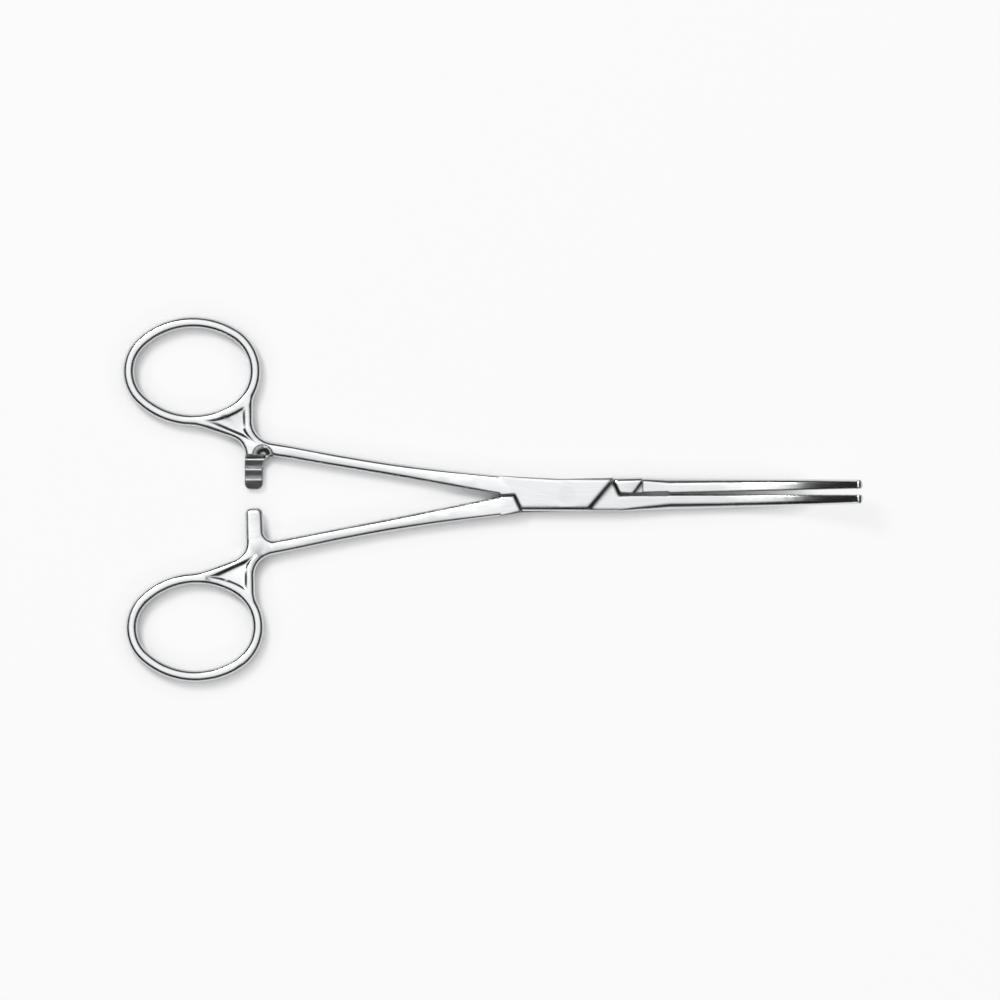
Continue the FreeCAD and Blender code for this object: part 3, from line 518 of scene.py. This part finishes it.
def buff_edges(piece):
    """Shades the three flats round each edge as one rounding, and keeps the sharp edges crisp."""
    weld = piece.modifiers.new("joined_facets", "WELD")
    weld.merge_threshold = WELD_DISTANCE
    split = piece.modifiers.new("kept_creases", "EDGE_SPLIT")
    split.split_angle = bpy.context.scene.clamp_finish.crease
    split.use_edge_sharp = False
    piece.modifiers.new("rounded_shading", "WEIGHTED_NORMAL")


def give_material(piece, material):
    """Makes a material the only one of a piece."""
    piece.data.materials.clear()
    piece.data.materials.append(material)


class CLAMP_OT_halves(bpy.types.Operator):
    """Finish both forged halves in ground and buffed steel"""
    bl_idname = "clamp.halves"
    bl_label = "Forged Halves"

    def execute(self, context):
        turn = context.scene.clamp_places.rest_opening
        for name, side, own_turn in (("female_half", 1, 0.0), ("male_half", -1, turn)):
            half = frame["nodes"][name]
            buff_edges(half)
            give_material(half, half_steel(f"{name}_steel", side, own_turn))
        return {"FINISHED"}


class CLAMP_OT_pivot_pin(bpy.types.Operator):
    """Finish the riveted pin in steel ground flush with the lock"""
    bl_idname = "clamp.pivot_pin"
    bl_label = "Pivot Pin"

    def execute(self, context):
        give_material(frame["nodes"]["pivot_pin"], pin_steel())
        return {"FINISHED"}


def table_material(studio):
    """Matt white, with some of its own white in the open, where the eye, steel or glass looks at it; near
    things that white fades out, which paints a soft shade round them.
    """
    material, tree = new_material("pale_table")
    coordinates = node(tree, "ShaderNodeTexCoord").outputs["Object"]
    grain = noise(tree, coordinates, Scale=900.0, Detail=2.0)
    bump = node(tree, "ShaderNodeBump", {"Strength": 0.05, "Distance": 0.0001, "Height": grain})
    shader = node(tree, "ShaderNodeBsdfPrincipled", {
        "Base Color": (*studio.floor_colour, 1.0), "Roughness": 0.7, "Specular IOR Level": 0.2,
        "Normal": bump.outputs[0]})
    white = node(tree, "ShaderNodeEmission", {"Color": WHITE, "Strength": 1.0})
    # Painted shade: the table's own white fades out near the steel and in narrow gaps, so the table is
    # darker round and under the clamp.
    near = step_between(tree, openness(tree, studio.shade_reach), *SHADED_TO_OPEN)
    glow = maths(tree, "MULTIPLY", near, studio.floor_glow)
    ray = node(tree, "ShaderNodeLightPath").outputs
    direct = maths(tree, "MAXIMUM", ray["Is Camera Ray"], ray["Is Glossy Ray"])
    looks = maths(tree, "MAXIMUM", direct, ray["Is Transmission Ray"])
    surface = node(tree, "ShaderNodeMixShader", {
        0: maths(tree, "MULTIPLY", looks, glow), 1: shader.outputs[0], 2: white.outputs[0]})
    node(tree, "ShaderNodeOutputMaterial", {"Surface": surface.outputs[0]})
    return material


def table_mesh(middle, width):
    """A flat square just under the part."""
    shape = bmesh.new()
    bmesh.ops.create_grid(shape, x_segments=1, y_segments=1, size=width / 2)
    bmesh.ops.translate(shape, verts=shape.verts, vec=(middle.x, middle.y, cad_low.z - TABLE_DROP))
    mesh = bpy.data.meshes.new("table_top")
    shape.to_mesh(mesh)
    shape.free()
    return mesh


def key_light(studio, middle, lit):
    """A square soft lamp that hangs on the lit side and faces the clamp."""
    data = bpy.data.lights.new("key_lamp", "AREA")
    data.shape = "SQUARE"
    data.size = studio.key_width
    data.energy = studio.key_power
    lamp = bpy.data.objects.new("key_lamp", data)
    lamp.location = middle + lit * studio.key_distance + Vector((0.0, 0.0, studio.key_height))
    lamp.rotation_euler = (middle - lamp.location).to_track_quat("-Z", "Y").to_euler()
    return lamp


def studio_room(studio, lit):
    """White ceiling, dark upper walls, and brighter walls beyond the jaws and below the table."""
    world = bpy.data.worlds.new("studio_room")
    world.use_nodes = True
    tree = world.node_tree
    tree.nodes.clear()
    towards = node(tree, "ShaderNodeTexCoord").outputs["Generated"]
    apart = axes(tree, towards)
    height = apart["Z"]
    facing = vector_maths(tree, "DOT_PRODUCT", towards, lit)["Value"]
    raised = maths(tree, "ADD", height, maths(tree, "MULTIPLY", facing, studio.ceiling_lean))
    upper = step_between(tree, raised, *WALL_TO_CEILING, studio.wall_strength, studio.ceiling_strength)
    low_walls = step_between(tree, height, *WALL_TO_LOW_WALL, 0.0, studio.low_wall_strength)
    low_walls = maths(tree, "MULTIPLY", low_walls, step_between(tree, apart["X"], *RINGS_TO_JAWS))
    horizon = step_between(tree, height, *TABLE_TO_BELOW, 0.0, studio.horizon_strength)
    strength = maths(tree, "ADD", upper, maths(tree, "MAXIMUM", low_walls, horizon))
    room = node(tree, "ShaderNodeBackground", {"Color": WHITE, "Strength": strength})
    node(tree, "ShaderNodeOutputWorld", {"Surface": room.outputs[0]})
    return world


def overhead_camera(studio, middle):
    """A camera without perspective that looks straight down."""
    lens = bpy.data.cameras.new("overhead_camera")
    lens.type = "ORTHO"
    lens.ortho_scale = studio.view_width
    camera = bpy.data.objects.new("overhead_camera", lens)
    camera.location = middle + Vector((0.0, 0.0, studio.camera_height))
    return camera


class CLAMP_OT_studio(bpy.types.Operator):
    """Lay a pale table in a white-ceilinged room, hang a soft lamp and point the camera straight down"""
    bl_idname = "clamp.studio"
    bl_label = "Studio"

    def execute(self, context):
        studio = context.scene.clamp_studio
        middle = Vector((*studio.view_centre, 0.0))
        lit = Vector((math.cos(studio.light_bearing), math.sin(studio.light_bearing), 0.0))
        floor = bpy.data.objects.new("table_top", table_mesh(middle, studio.floor_width))
        camera = overhead_camera(studio, middle)
        for thing in (floor, key_light(studio, middle, lit), camera):
            context.scene.collection.objects.link(thing)
        give_material(floor, table_material(studio))
        context.scene.world = studio_room(studio, lit)
        context.scene.camera = camera
        context.scene.view_settings.view_transform = "Standard"
        return {"FINISHED"}


class CLAMP_PT_panel(bpy.types.Panel):
    """Sizes, colours and steps of the clamp's finish"""
    bl_idname = "CLAMP_PT_panel"
    bl_label = "Surgical Clamp"
    bl_space_type = "VIEW_3D"
    bl_region_type = "UI"
    bl_category = "Clamp"

    def draw(self, context):
        layout = self.layout
        for group in ("clamp_finish", "clamp_places", "clamp_studio"):
            box = layout.box()
            holder = getattr(context.scene, group)
            for name in holder.__annotations__:
                box.prop(holder, name)
        for operator in (CLAMP_OT_halves, CLAMP_OT_pivot_pin, CLAMP_OT_studio):
            layout.operator(operator.bl_idname)


CLASSES = (
    SteelFinish, ClampPlaces, Studio, CLAMP_OT_halves, CLAMP_OT_pivot_pin, CLAMP_OT_studio, CLAMP_PT_panel,
)


def register():
    for kind in CLASSES:
        bpy.utils.register_class(kind)
    bpy.types.Scene.clamp_finish = PointerProperty(type=SteelFinish)
    bpy.types.Scene.clamp_places = PointerProperty(type=ClampPlaces)
    bpy.types.Scene.clamp_studio = PointerProperty(type=Studio)


def unregister():
    del bpy.types.Scene.clamp_studio
    del bpy.types.Scene.clamp_places
    del bpy.types.Scene.clamp_finish
    for kind in reversed(CLASSES):
        bpy.utils.unregister_class(kind)


def main():
    register()
    bpy.ops.clamp.studio()
    bpy.ops.clamp.halves()
    bpy.ops.clamp.pivot_pin()


if __name__ == "__main__":
    main()
